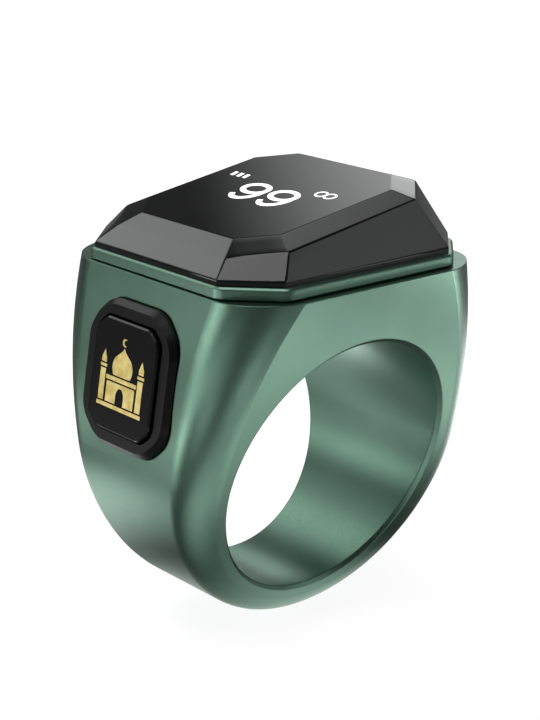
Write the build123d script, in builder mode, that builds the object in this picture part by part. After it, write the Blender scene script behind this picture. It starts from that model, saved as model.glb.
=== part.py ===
"""Finger-worn digital tasbih counter: a metal ring carrying a faceted display head and one push button.

Frame, in millimetres: origin at the middle of the finger bore, +Y along the finger, +Z up to the display,
the push button on the -X flank.
"""
import math
import os

from build123d import *

os.makedirs("parts", exist_ok=True)

# Finger bore and the walls of the shank around it
bore_radius = 10.0
bore_lip = 0.3
lip_shares = (-1.5, 1.0)
crease_land = 1.05
foot_wall = 2.15
left_wall = 3.65
right_wall = 3.55
flank_spring_z = 1.5

# Head: floor over the bore, board shelf, ledge and the shoulders where the flanks end
floor_wall = 1.0
shelf_rise = 2.5
ledge_rise = 1.016
trim_spare = 0.484
shoulder_half = 11.2
shoulder_band = 4.54

# End faces of the ring and the rounded bands that run from them to the flanks
face_half_depth = 7.395
face_slope = 0.279
band_depth = 2.395
band_slope_loss = 0.141
band_end_angle = 76.0
band_shares = (0.0, 0.34, 0.67, 1.0)

# Electronics pocket
rim_wall_x = 1.0
rim_wall_y = 1.845
shelf_corner = 4.0
shelf_land = 0.8

# Plinth under the lens
plinth_reach = 0.05
ledge_show = 0.705
plinth_cut = 3.5
plinth_height = 0.935
plinth_edge = 0.15
plinth_corner = 1.0
skirt_play = 0.05
skirt_depth = 0.216
skirt_wall = 1.2
opening_corner = 3.0
tape_inset = 0.7
tape_cut = 3.2
tape_thickness = 0.15
tape_land = 0.4

# Faceted lens with a table tilted toward the button side
reveal_x = 0.225
reveal_y = 0.496
girdle_cut = 3.281
girdle_height = 0.406
lower_run_x = 3.9
lower_run_y = 2.202
crown_shift = -0.639
crown_slope = 0.168
crown_cut = 3.046
crown_rise = 3.06
upper_run_x = 2.98
upper_run_y = 3.256
table_cut = 2.354
table_rise = 3.725
spigot_play = 0.1
spigot_depth = 0.6
lens_cover = 1.6
lens_pocket_corner = 0.6

# Display stack
bond_thickness = 0.1
panel_x = 11.6
panel_y = 14.5
panel_thickness = 1.2
carrier_margin = 0.3
carrier_play_x = 0.5
carrier_play_y = 0.3
carrier_plate = 0.6
carrier_wall = 0.8
ribbon_width = 8.0
ribbon_thickness = 0.12
ribbon_reach = 0.55
ribbon_foot = 1.0
ribbon_bend = 0.2
ribbon_level = 0.9

# Circuit board
board_play = 0.2
board_thickness = 0.6
gasket_width = 0.8
chip_size = 5.0
chip_thickness = 0.8
chip_x = 1.9
component_length = 1.0
component_width = 0.5
component_height = 0.35
component_gap = 0.5
component_pitch = 2.2
component_count = 5

# Charging contacts
contact_pitch = 3.2
contact_edge = 1.8
contact_sink = 0.03
pin_radius = 0.75
pin_step = 1.0
pin_tail_radius = 0.4
bush_wall = 0.45
bush_flange = 0.3
bush_sink = 0.06
bush_rise = 0.6
magnet_radius = 1.25
magnet_height = 1.2
magnet_pitch = 9.6

# Vibration motor
motor_gap = 0.3
motor_y = 1.4
motor_radius = 3.5
motor_height = 1.9
motor_wall = 0.2
motor_plate = 0.2
motor_tab_width = 2.4
motor_tab_reach = 1.2
shaft_radius = 0.35
rotor_gap = 0.4
rotor_play = 0.1
rotor_thickness = 0.9
rotor_lift = 0.35
rotor_hub_wall = 0.45
lead_radius = 0.18
lead_pitch = 1.2

# Battery, beside the motor and behind the contacts
flex_room = 1.2
battery_gap = 0.7
battery_contact_gap = 0.2
battery_end_gap = 1.0
battery_headroom = 0.25
battery_corner = 0.7
pad_thickness = 0.15
pad_inset = 0.8
tab_width = 1.2
tab_thickness = 0.15
tab_pitch = 4.0
tab_level = 1.2
tab_reach = 0.5

# Push button, measured from a plane laid on the button flank
button_z = 7.67
bezel_y = 10.0
bezel_v = 10.6
bezel_cut_y = 2.2
bezel_cut_v = 1.9
bezel_round = 2.6
bezel_proud = 0.45
bezel_depth = 0.65
bezel_edge = 0.4
seat_play = 0.05
seal_thickness = 0.15
seal_inset = 0.1
well_land = 0.8
well_cut_y = 1.9
well_cut_v = 1.6
well_depth = 3.3
cap_margin_y = 1.4
cap_margin_v = 1.3
cap_cut_y = 1.1
cap_cut_v = 0.9
cap_round = 1.0
cap_proud = 0.75
cap_play = 0.15
cap_edge = 0.12
flange_play_y = 0.25
flange_play_v = 0.15
flange_gap = 0.15
flange_thickness = 0.45
nub_radius = 0.9
nub_length = 0.35

# Tactile switch under the button
switch_y = 3.6
switch_v = 4.6
switch_flex_thickness = 0.12
switch_flex_width = 3.0
switch_flex_low = 2.6
switch_flex_spare = 0.4
switch_flex_play = 0.2
plunger_show = 0.4
switch_cover_thickness = 0.15
switch_cover_play = 0.15
switch_cavity_play = 0.2
switch_cavity_floor = 0.18
plunger_radius = 0.8
plunger_flange_grow = 0.5
plunger_flange_gap = 0.07
plunger_flange_thickness = 0.2
dome_height = 0.15
dome_inset = 0.05
dome_crown_radius = 0.6
connector_x = 0.8
connector_y = 4.0
connector_height = 0.95
connector_edge = 0.05
connector_slot_x = 0.4
connector_slot_y = 3.1
connector_slot_height = 0.75

# Sizes that follow from those above
crease_half = bore_radius + crease_land
body_drop = bore_radius + foot_wall
flank_left = bore_radius + left_wall
flank_right = bore_radius + right_wall
floor_z = bore_radius + floor_wall
shelf_z = floor_z + shelf_rise
ledge_z = shelf_z + ledge_rise
shoulder_z = ledge_z + trim_spare
crease_shoulder = shoulder_half - shoulder_band
band_half_depth = face_half_depth - band_depth
band_slope = face_slope - band_slope_loss
ledge_half_y = face_half_depth + face_slope * ledge_z
shelf_x = 2 * (shoulder_half - rim_wall_x)
shelf_y = 2 * (ledge_half_y - rim_wall_y)
pocket_x = shelf_x - 2 * shelf_land
pocket_y = shelf_y - 2 * shelf_land
pocket_corner = shelf_corner - shelf_land
plinth_x = 2 * (shoulder_half + plinth_reach)
plinth_y = 2 * (ledge_half_y - ledge_show)
plinth_top = ledge_z + plinth_height
skirt_end = ledge_z - skirt_depth
opening_x = shelf_x - 2 * skirt_wall
opening_y = shelf_y - 2 * skirt_wall
girdle_x = plinth_x - 2 * reveal_x
girdle_y = plinth_y - 2 * reveal_y
tape_x = girdle_x - 2 * tape_inset
tape_y = girdle_y - 2 * tape_inset
crown_x = girdle_x - lower_run_x
crown_y = girdle_y - lower_run_y
table_x = crown_x - upper_run_x
table_y = crown_y - upper_run_y
carrier_x = panel_x + 2 * carrier_margin
carrier_y = panel_y + 2 * carrier_margin
lens_pocket_x = carrier_x + 2 * carrier_play_x
lens_pocket_y = carrier_y + 2 * carrier_play_y
board_x = shelf_x - 2 * board_play
board_y = shelf_y - 2 * board_play
board_corner = shelf_corner - board_play
board_top = shelf_z + board_thickness
contact_y = contact_edge - pocket_y / 2
contact_z = bore_radius + contact_sink
pin_step_z = floor_z + pin_step
bush_radius = pin_radius + bush_wall
bush_flange_radius = bush_radius + bush_flange
bush_foot_z = bore_radius + bush_sink
bush_top_z = floor_z + bush_rise
motor_x = pocket_x / 2 - motor_gap - motor_radius
rotor_radius = motor_radius - motor_wall - rotor_gap
rotor_hub_radius = shaft_radius + rotor_play + rotor_hub_wall
battery_left = flex_room - pocket_x / 2
battery_right = motor_x - motor_radius - battery_gap
battery_front = contact_y + bush_flange_radius + battery_contact_gap
battery_back = pocket_y / 2 - battery_end_gap
battery_x = battery_right - battery_left
battery_y = battery_back - battery_front
battery_centre_x = (battery_right + battery_left) / 2
battery_centre_y = (battery_back + battery_front) / 2
battery_foot = floor_z + pad_thickness
battery_thickness = shelf_z - battery_headroom - battery_foot
well_y = bezel_y - 2 * well_land
well_v = bezel_v - 2 * well_land
cap_y = bezel_y - 2 * cap_margin_y
cap_v = bezel_v - 2 * cap_margin_v
cap_opening_y = cap_y + 2 * cap_play
cap_opening_v = cap_v + 2 * cap_play
flange_y = well_y - 2 * flange_play_y
flange_v = well_v - 2 * flange_play_v
flange_top = bezel_depth + flange_gap
flange_foot = flange_top + flange_thickness
nub_end = flange_foot + nub_length
seat_depth = bezel_depth + seal_thickness
switch_cover_top = nub_end + plunger_show
switch_base_top = switch_cover_top + switch_cover_thickness
switch_cover_hole = plunger_radius + switch_cover_play
switch_foot = well_depth - switch_flex_thickness
switch_cavity_end = switch_foot - switch_cavity_floor
plunger_flange_radius = plunger_radius + plunger_flange_grow
plunger_flange_top = switch_base_top + plunger_flange_gap
plunger_end = plunger_flange_top + plunger_flange_thickness
switch_cavity_radius = plunger_flange_radius + switch_cavity_play
dome_radius = plunger_flange_radius - dome_inset
connector_foot = shelf_z - connector_height
connector_centre_x = (connector_x - pocket_x) / 2 + connector_edge

# Button plane, tangent to the arc of the button flank
flank_fall = flank_left - shoulder_half
flank_rise = shoulder_z - flank_spring_z
flank_arc = (flank_fall**2 + flank_rise**2) / (2 * flank_fall)
button_turn = math.asin((button_z - flank_spring_z) / flank_arc)
button_x = flank_arc * (1 - math.cos(button_turn)) - flank_left
button_slope = math.tan(button_turn)
button_plane = Plane(origin=(button_x, 0, button_z), x_dir=(0, -1, 0), z_dir=(-1, 0, button_slope))
button_axis = Axis(button_plane.origin, button_plane.z_dir)
connector_slot_top = connector_foot + connector_slot_height
switch_flex_high = (connector_slot_top - button_z) / math.cos(button_turn) - switch_flex_spare


def cut_corners(size_x, size_y, cut_x, cut_y):
    """Corner points of a rectangle with its four corners cut off."""
    half_x = size_x / 2
    half_y = size_y / 2
    return [
        (half_x, -half_y + cut_y),
        (half_x, half_y - cut_y),
        (half_x - cut_x, half_y),
        (-half_x + cut_x, half_y),
        (-half_x, half_y - cut_y),
        (-half_x, -half_y + cut_y),
        (-half_x + cut_x, -half_y),
        (half_x - cut_x, -half_y),
    ]


# Ring body
band_end = math.radians(band_end_angle)
through = 2 * (flank_left + ledge_half_y)
flex_floor_v = (floor_z - button_z + well_depth * math.sin(button_turn)) / math.cos(button_turn)
flex_floor_x = button_plane.from_local_coords((0, flex_floor_v, -well_depth)).X
flex_way_left = flex_floor_x - switch_flex_thickness - switch_flex_play
flex_way_right = flex_floor_x + flex_room
flex_way_y = switch_flex_width + 2 * switch_flex_play
pin_places = [(side * contact_pitch / 2, contact_y) for side in (-1, 1)]

with BuildPart() as ring_body:
    # Rounded bands at both ends, each lofted through sections from the flank line to the end face
    for side in (-1, 1):
        for share in band_shares:
            turn = share * band_end
            spread = (math.cos(turn) - math.cos(band_end)) / (1 - math.cos(band_end))
            reach = math.sin(turn) / math.sin(band_end)
            half_depth = band_half_depth + (face_half_depth - band_half_depth) * reach
            slope = band_slope + (face_slope - band_slope) * reach
            stretch = math.hypot(1, slope)
            left = crease_half + (flank_left - crease_half) * spread
            right = crease_half + (flank_right - crease_half) * spread
            shoulder = crease_shoulder + (shoulder_half - crease_shoulder) * spread
            drop = (crease_half + (body_drop - crease_half) * spread) * stretch
            spring = flank_spring_z * spread * stretch
            top = shoulder_z * stretch
            with BuildSketch(
                Plane(origin=(0, side * half_depth, 0), x_dir=(1, 0, 0), z_dir=(0, -1, side * slope))
            ):
                with BuildLine():
                    EllipticalCenterArc((0, spring), left, drop + spring, start_angle=180, arc_size=90)
                    EllipticalCenterArc((0, 0), right, drop, start_angle=270, arc_size=90)
                    TangentArc((right, 0), (shoulder, top), tangent=(0, 1))
                    Line((shoulder, top), (-shoulder, top))
                    TangentArc((-left, spring), (-shoulder, top), tangent=(0, 1))
                make_face()
        loft()
    # Straight run between the two bands
    stretch = math.hypot(1, band_slope)
    drop = body_drop * stretch
    spring = flank_spring_z * stretch
    top = shoulder_z * stretch
    for side in (-1, 1):
        band_dir = (0, -1, side * band_slope)
        with BuildSketch(Plane(origin=(0, side * band_half_depth, 0), x_dir=(1, 0, 0), z_dir=band_dir)):
            with BuildLine():
                EllipticalCenterArc((0, spring), flank_left, drop + spring, start_angle=180, arc_size=90)
                EllipticalCenterArc((0, 0), flank_right, drop, start_angle=270, arc_size=90)
                TangentArc((flank_right, 0), (shoulder_half, top), tangent=(0, 1))
                Line((shoulder_half, top), (-shoulder_half, top))
                TangentArc((-flank_left, spring), (-shoulder_half, top), tangent=(0, 1))
            make_face()
    loft(ruled=True)
    # Flat ledge on top and the finger bore with its eased lips
    with BuildSketch(Plane.XY.offset(ledge_z)):
        Rectangle(through, through)
    extrude(amount=through, mode=Mode.SUBTRACT)
    with BuildSketch(Plane.XZ):
        Circle(bore_radius)
    extrude(amount=through, both=True, mode=Mode.SUBTRACT)
    for side in (-1, 1):
        for lip_share in lip_shares:
            lip_radius = bore_radius + bore_lip * (lip_share + 1)
            lip_depth = face_half_depth + bore_lip * lip_share
            lip_dir = (0, -1, side * face_slope)
            with BuildSketch(Plane(origin=(0, side * lip_depth, 0), x_dir=(1, 0, 0), z_dir=lip_dir)):
                Ellipse(lip_radius, lip_radius * math.hypot(1, face_slope))
        loft(ruled=True, mode=Mode.SUBTRACT)
    # Electronics pocket with a shelf for the board
    with BuildSketch(Plane.XY.offset(floor_z)):
        RectangleRounded(pocket_x, pocket_y, pocket_corner)
    extrude(amount=through, mode=Mode.SUBTRACT)
    with BuildSketch(Plane.XY.offset(shelf_z)):
        RectangleRounded(shelf_x, shelf_y, shelf_corner)
    extrude(amount=through, mode=Mode.SUBTRACT)
    # Seat for the button surround and the deeper well for the switch
    with BuildSketch(button_plane.offset(-seat_depth)) as seat_outline:
        Polygon(
            *cut_corners(bezel_y + 2 * seat_play, bezel_v + 2 * seat_play, bezel_cut_y, bezel_cut_v),
            align=None,
        )
        fillet(seat_outline.vertices(), radius=bezel_round)
    extrude(amount=seat_depth + cap_proud, mode=Mode.SUBTRACT)
    with BuildSketch(button_plane.offset(-well_depth)):
        Polygon(*cut_corners(well_y, well_v, well_cut_y, well_cut_v), align=None)
    extrude(amount=well_depth, mode=Mode.SUBTRACT)
    # Way for the switch flex from the well into the pocket
    with BuildSketch(button_plane.offset(-well_depth)):
        with Locations((0, switch_flex_high / 2)):
            Rectangle(flex_way_y, switch_flex_high)
    extrude(amount=switch_flex_thickness + switch_flex_play, mode=Mode.SUBTRACT)
    with BuildSketch(Plane.XY.offset(floor_z)):
        with Locations(((flex_way_left + flex_way_right) / 2, 0)):
            Rectangle(flex_way_right - flex_way_left, flex_way_y)
    extrude(amount=shelf_rise, mode=Mode.SUBTRACT)
    # Holes for the charging contacts
    with BuildSketch(Plane.XY.offset(floor_z)):
        with Locations(*pin_places):
            Circle(bush_radius)
    extrude(amount=-bore_radius, mode=Mode.SUBTRACT)
ring_body.part.label = "ring_body"
export_step(ring_body.part, "parts/ring_body.step")

# Plinth that carries the lens, with a skirt that drops into the pocket
with BuildPart() as bezel_frame:
    with BuildSketch(Plane.XY.offset(ledge_z)) as plinth_outline:
        Polygon(*cut_corners(plinth_x, plinth_y, plinth_cut, plinth_cut), align=None)
        fillet(plinth_outline.vertices(), radius=plinth_corner)
    extrude(amount=plinth_top - ledge_z)
    chamfer(bezel_frame.faces().sort_by(Axis.Z)[-1].edges(), length=plinth_edge)
    chamfer(bezel_frame.faces().sort_by(Axis.Z)[0].edges(), length=plinth_edge)
    with BuildSketch(Plane.XY.offset(skirt_end)):
        RectangleRounded(shelf_x - 2 * skirt_play, shelf_y - 2 * skirt_play, shelf_corner - skirt_play)
    extrude(amount=ledge_z - skirt_end)
    with BuildSketch(Plane.XY.offset(skirt_end)):
        RectangleRounded(opening_x, opening_y, opening_corner)
    extrude(amount=plinth_top - skirt_end, mode=Mode.SUBTRACT)
    with BuildSketch(Plane.XY.offset(plinth_top - tape_thickness)):
        Polygon(*cut_corners(tape_x, tape_y, tape_cut, tape_cut), align=None)
    extrude(amount=tape_thickness, mode=Mode.SUBTRACT)
bezel_frame.part.label = "bezel_frame"
export_step(bezel_frame.part, "parts/bezel_frame.step")

# Adhesive tape frame that bonds the lens to the plinth
with BuildPart() as lens_adhesive:
    with BuildSketch(Plane.XY.offset(plinth_top - tape_thickness)):
        Polygon(*cut_corners(tape_x, tape_y, tape_cut, tape_cut), align=None)
        RectangleRounded(
            opening_x + 2 * tape_land,
            opening_y + 2 * tape_land,
            opening_corner + tape_land,
            mode=Mode.SUBTRACT,
        )
    extrude(amount=tape_thickness)
lens_adhesive.part.label = "lens_adhesive"
export_step(lens_adhesive.part, "parts/lens_adhesive.step")

# Faceted lens: upright girdle, long lower facets, short upper facets and a tilted table
crown_dir = (-crown_slope, 0, 1)
crown_along = (1, 0, crown_slope)
crown_plane = Plane(origin=(crown_shift, 0, plinth_top + crown_rise), x_dir=crown_along, z_dir=crown_dir)
table_plane = Plane(origin=(crown_shift, 0, plinth_top + table_rise), x_dir=crown_along, z_dir=crown_dir)
ceiling_plane = table_plane.offset(-lens_cover)

with BuildPart() as lens:
    with BuildSketch(Plane.XY.offset(plinth_top)):
        Polygon(*cut_corners(girdle_x, girdle_y, girdle_cut, girdle_cut), align=None)
    extrude(amount=girdle_height)
    with BuildSketch(Plane.XY.offset(plinth_top + girdle_height)):
        Polygon(*cut_corners(girdle_x, girdle_y, girdle_cut, girdle_cut), align=None)
    with BuildSketch(crown_plane):
        Polygon(*cut_corners(crown_x, crown_y, crown_cut, crown_cut), align=None)
    loft(ruled=True)
    with BuildSketch(crown_plane):
        Polygon(*cut_corners(crown_x, crown_y, crown_cut, crown_cut), align=None)
    with BuildSketch(table_plane):
        Polygon(*cut_corners(table_x, table_y, table_cut, table_cut), align=None)
    loft(ruled=True)
    with BuildSketch(Plane.XY.offset(plinth_top - spigot_depth)):
        RectangleRounded(
            opening_x - 2 * spigot_play, opening_y - 2 * spigot_play, opening_corner - spigot_play
        )
    extrude(amount=spigot_depth)
    with BuildSketch(ceiling_plane):
        RectangleRounded(lens_pocket_x, lens_pocket_y, lens_pocket_corner)
    extrude(amount=table_rise + spigot_depth, dir=(0, 0, -1), mode=Mode.SUBTRACT)
lens.part.label = "lens"
export_step(lens.part, "parts/lens.step")

# Clear bond between the lens and the display
with BuildPart() as display_bond:
    with BuildSketch(ceiling_plane):
        Rectangle(panel_x, panel_y)
    extrude(amount=-bond_thickness)
display_bond.part.label = "display_bond"
export_step(display_bond.part, "parts/display_bond.step")

# Display panel
panel_top = ceiling_plane.offset(-bond_thickness)
panel_foot = panel_top.offset(-panel_thickness)
with BuildPart() as display_panel:
    with BuildSketch(panel_top):
        Rectangle(panel_x, panel_y)
    extrude(amount=-panel_thickness)
display_panel.part.label = "display_panel"
export_step(display_panel.part, "parts/display_panel.step")

# Wedge-shaped carrier that props the display at the tilt of the table
with BuildPart() as display_carrier:
    with BuildSketch(panel_foot):
        Rectangle(carrier_x, carrier_y)
    extrude(amount=table_rise + plinth_top - board_top, dir=(0, 0, -1))
    with BuildSketch(panel_foot.offset(-carrier_plate)):
        Rectangle(carrier_x - 2 * carrier_wall, carrier_y - 2 * carrier_wall)
    extrude(amount=table_rise + plinth_top - board_top, dir=(0, 0, -1), mode=Mode.SUBTRACT)
    with BuildSketch(Plane.XY.offset(board_top)):
        Rectangle(through, through)
    extrude(amount=-through, mode=Mode.SUBTRACT)
display_carrier.part.label = "display_carrier"
export_step(display_carrier.part, "parts/display_carrier.step")

# Ribbon from the high edge of the display down to the board
ribbon_start = panel_top.from_local_coords((panel_x / 2, 0, -ribbon_level))
ribbon_turn_x = ribbon_start.X + ribbon_reach
ribbon_low_z = board_top + ribbon_thickness / 2
with BuildPart() as display_ribbon:
    with BuildSketch(Plane.XZ):
        with BuildLine():
            FilletPolyline(
                (ribbon_start.X, ribbon_start.Z),
                (ribbon_turn_x, ribbon_start.Z + ribbon_reach * crown_slope),
                (ribbon_turn_x, ribbon_low_z),
                (ribbon_turn_x + ribbon_foot, ribbon_low_z),
                radius=ribbon_bend,
            )
        trace(line_width=ribbon_thickness)
    extrude(amount=ribbon_width / 2, both=True)
display_ribbon.part.label = "display_ribbon"
export_step(display_ribbon.part, "parts/display_ribbon.step")

# Circuit board on the shelf, with the gasket that the plinth skirt presses on it
with BuildPart() as main_board:
    with BuildSketch(Plane.XY.offset(shelf_z)):
        RectangleRounded(board_x, board_y, board_corner)
    extrude(amount=board_thickness)
main_board.part.label = "main_board"
export_step(main_board.part, "parts/main_board.step")

with BuildPart() as board_gasket:
    with BuildSketch(Plane.XY.offset(board_top)):
        RectangleRounded(board_x, board_y, board_corner)
        RectangleRounded(
            board_x - 2 * gasket_width,
            board_y - 2 * gasket_width,
            board_corner - gasket_width,
            mode=Mode.SUBTRACT,
        )
    extrude(amount=skirt_end - board_top)
board_gasket.part.label = "board_gasket"
export_step(board_gasket.part, "parts/board_gasket.step")

with BuildPart() as controller_chip:
    with BuildSketch(Plane.XY.offset(board_top)):
        with Locations((chip_x, 0)):
            Rectangle(chip_size, chip_size)
    extrude(amount=chip_thickness)
controller_chip.part.label = "controller_chip"
export_step(controller_chip.part, "parts/controller_chip.step")

component_x = panel_foot.from_local_coords((-carrier_x / 2, 0, 0)).X - component_gap - component_length / 2
with BuildPart() as board_components:
    with BuildSketch(Plane.XY.offset(board_top)):
        with Locations((component_x, 0)):
            with GridLocations(0, component_pitch, 1, component_count):
                Rectangle(component_length, component_width)
    extrude(amount=component_height)
board_components.part.label = "board_components"
export_step(board_components.part, "parts/board_components.step")

# Battery on its foam pad, with two tabs up to the board
with BuildPart() as battery_pad:
    with BuildSketch(Plane.XY.offset(floor_z)):
        with Locations((battery_centre_x, battery_centre_y)):
            Rectangle(battery_x - 2 * pad_inset, battery_y - 2 * pad_inset)
    extrude(amount=pad_thickness)
battery_pad.part.label = "battery_pad"
export_step(battery_pad.part, "parts/battery_pad.step")

with BuildPart() as battery_cell:
    with BuildSketch(Plane.XY.offset(battery_foot)):
        with Locations((battery_centre_x, battery_centre_y)):
            RectangleRounded(battery_x, battery_y, battery_corner)
    extrude(amount=battery_thickness)
    chamfer(battery_cell.faces().sort_by(Axis.Z)[-1].edges(), length=battery_corner / 2)
battery_cell.part.label = "battery_cell"
export_step(battery_cell.part, "parts/battery_cell.step")

tab_z = battery_foot + tab_level
with BuildPart() as battery_tabs:
    with BuildSketch(Plane.YZ):
        with BuildLine():
            Polyline(
                (battery_front, tab_z),
                (battery_front - tab_reach, tab_z),
                (battery_front - tab_reach, shelf_z),
                (battery_front - tab_reach + tab_thickness, shelf_z),
                (battery_front - tab_reach + tab_thickness, tab_z + tab_thickness),
                (battery_front, tab_z + tab_thickness),
                close=True,
            )
        make_face()
    extrude(amount=tab_width / 2, both=True)
tab_places = [(battery_centre_x + side * tab_pitch / 2, 0, 0) for side in (-1, 1)]
battery_tabs.part = Compound([Pos(*place) * battery_tabs.part for place in tab_places])
battery_tabs.part.label = "battery_tabs"
export_step(battery_tabs.part, "parts/battery_tabs.step")

# Charging contacts in insulating bushes, with the magnets that hold the charger
with BuildPart() as charging_pins:
    with BuildSketch(Plane.XY.offset(contact_z)):
        with Locations(*pin_places):
            Circle(pin_radius)
    extrude(amount=pin_step_z - contact_z)
    with BuildSketch(Plane.XY.offset(pin_step_z)):
        with Locations(*pin_places):
            Circle(pin_tail_radius)
    extrude(amount=shelf_z - pin_step_z)
charging_pins.part.label = "charging_pins"
export_step(charging_pins.part, "parts/charging_pins.step")

with BuildPart() as contact_bushes:
    with BuildSketch(Plane.XY.offset(bush_foot_z)):
        with Locations(*pin_places):
            Circle(bush_radius)
    extrude(amount=floor_z - bush_foot_z)
    with BuildSketch(Plane.XY.offset(floor_z)):
        with Locations(*pin_places):
            Circle(bush_flange_radius)
    extrude(amount=bush_top_z - floor_z)
    with BuildSketch(Plane.XY.offset(bush_foot_z)):
        with Locations(*pin_places):
            Circle(pin_radius)
    extrude(amount=bush_top_z - bush_foot_z, mode=Mode.SUBTRACT)
contact_bushes.part.label = "contact_bushes"
export_step(contact_bushes.part, "parts/contact_bushes.step")

with BuildPart() as charging_magnets:
    with BuildSketch(Plane.XY.offset(floor_z)):
        with Locations((-magnet_pitch / 2, contact_y), (magnet_pitch / 2, contact_y)):
            Circle(magnet_radius)
    extrude(amount=magnet_height)
charging_magnets.part.label = "charging_magnets"
export_step(charging_magnets.part, "parts/charging_magnets.step")

# Vibration motor: base plate, can, shaft and the off-centre rotor
motor_plane = Plane.XY.offset(floor_z)
motor_can_z = floor_z + motor_plate
motor_top_z = motor_can_z + motor_height
with BuildPart() as motor_base:
    with BuildSketch(motor_plane):
        with Locations((motor_x, motor_y)):
            Circle(motor_radius)
        with Locations((motor_x, motor_y - motor_radius - motor_tab_reach / 2)):
            Rectangle(motor_tab_width, motor_tab_reach + motor_radius / 2)
    extrude(amount=motor_plate)
motor_base.part.label = "motor_base"
export_step(motor_base.part, "parts/motor_base.step")

with BuildPart() as motor_can:
    with BuildSketch(Plane.XY.offset(motor_can_z)):
        with Locations((motor_x, motor_y)):
            Circle(motor_radius)
    extrude(amount=motor_height)
    with BuildSketch(Plane.XY.offset(motor_can_z)):
        with Locations((motor_x, motor_y)):
            Circle(motor_radius - motor_wall)
    extrude(amount=motor_height - motor_wall, mode=Mode.SUBTRACT)
motor_can.part.label = "motor_can"
export_step(motor_can.part, "parts/motor_can.step")

with BuildPart() as motor_shaft:
    with BuildSketch(Plane.XY.offset(motor_can_z)):
        with Locations((motor_x, motor_y)):
            Circle(shaft_radius)
    extrude(amount=motor_height - motor_wall)
motor_shaft.part.label = "motor_shaft"
export_step(motor_shaft.part, "parts/motor_shaft.step")

with BuildPart() as motor_rotor:
    with BuildSketch(Plane.XY.offset(motor_can_z + rotor_lift)):
        with Locations((motor_x, motor_y)):
            Circle(rotor_radius, arc_size=180, align=None)
            Circle(rotor_hub_radius)
            Circle(shaft_radius + rotor_play, mode=Mode.SUBTRACT)
    extrude(amount=rotor_thickness)
motor_rotor.part.label = "motor_rotor"
export_step(motor_rotor.part, "parts/motor_rotor.step")

lead_y = motor_y - motor_radius - motor_tab_reach / 2
with BuildPart() as motor_leads:
    with BuildSketch(Plane.XY.offset(motor_can_z)):
        with Locations((motor_x - lead_pitch / 2, lead_y), (motor_x + lead_pitch / 2, lead_y)):
            Circle(lead_radius)
    extrude(amount=shelf_z - motor_can_z)
motor_leads.part.label = "motor_leads"
export_step(motor_leads.part, "parts/motor_leads.step")

# Button surround and the seal under it
with BuildPart() as button_bezel:
    with BuildSketch(button_plane.offset(-bezel_depth)) as bezel_outline:
        Polygon(*cut_corners(bezel_y, bezel_v, bezel_cut_y, bezel_cut_v), align=None)
        fillet(bezel_outline.vertices(), radius=bezel_round)
    extrude(amount=bezel_depth + bezel_proud)
    chamfer(button_bezel.faces().sort_by(button_axis)[-1].edges(), length=bezel_edge)
    with BuildSketch(button_plane.offset(-bezel_depth)) as cap_opening:
        Polygon(*cut_corners(cap_opening_y, cap_opening_v, cap_cut_y, cap_cut_v), align=None)
        fillet(cap_opening.vertices(), radius=cap_round)
    extrude(amount=bezel_depth + bezel_proud, mode=Mode.SUBTRACT)
button_bezel.part.label = "button_bezel"
export_step(button_bezel.part, "parts/button_bezel.step")

with BuildPart() as button_seal:
    with BuildSketch(button_plane.offset(-seat_depth)) as seal_outline:
        Polygon(
            *cut_corners(bezel_y - seal_inset, bezel_v - seal_inset, bezel_cut_y, bezel_cut_v),
            align=None,
        )
        fillet(seal_outline.vertices(), radius=bezel_round)
        Polygon(
            *cut_corners(well_y + seal_inset, well_v + seal_inset, well_cut_y, well_cut_v),
            align=None,
            mode=Mode.SUBTRACT,
        )
    extrude(amount=seal_thickness)
button_seal.part.label = "button_seal"
export_step(button_seal.part, "parts/button_seal.step")

# Button cap with its retaining flange and the nub that reaches the switch
with BuildPart() as button_cap:
    with BuildSketch(button_plane.offset(-flange_top)) as cap_outline:
        Polygon(*cut_corners(cap_y, cap_v, cap_cut_y, cap_cut_v), align=None)
        fillet(cap_outline.vertices(), radius=cap_round)
    extrude(amount=flange_top + cap_proud)
    chamfer(button_cap.faces().sort_by(button_axis)[-1].edges(), length=cap_edge)
    with BuildSketch(button_plane.offset(-flange_foot)):
        Polygon(
            *cut_corners(flange_y, flange_v, well_cut_y, well_cut_v),
            align=None,
        )
    extrude(amount=flange_thickness)
    with BuildSketch(button_plane.offset(-nub_end)):
        Circle(nub_radius)
    extrude(amount=nub_end - flange_foot)
button_cap.part.label = "button_cap"
export_step(button_cap.part, "parts/button_cap.step")

# Tactile switch on its flex
with BuildPart() as switch_flex:
    with BuildSketch(button_plane.offset(-well_depth)):
        with Locations((0, (switch_flex_high - switch_flex_low) / 2)):
            Rectangle(switch_flex_width, switch_flex_high + switch_flex_low)
    extrude(amount=switch_flex_thickness)
switch_flex.part.label = "switch_flex"
export_step(switch_flex.part, "parts/switch_flex.step")

with BuildPart() as switch_base:
    with BuildSketch(button_plane.offset(-switch_foot)):
        Rectangle(switch_y, switch_v)
    extrude(amount=switch_foot - switch_base_top)
    with BuildSketch(button_plane.offset(-switch_cavity_end)):
        Circle(switch_cavity_radius)
    extrude(amount=switch_cavity_end - switch_base_top, mode=Mode.SUBTRACT)
switch_base.part.label = "switch_base"
export_step(switch_base.part, "parts/switch_base.step")

with BuildPart() as switch_cover:
    with BuildSketch(button_plane.offset(-switch_base_top)):
        Rectangle(switch_y, switch_v)
        Circle(switch_cover_hole, mode=Mode.SUBTRACT)
    extrude(amount=switch_cover_thickness)
switch_cover.part.label = "switch_cover"
export_step(switch_cover.part, "parts/switch_cover.step")

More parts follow.
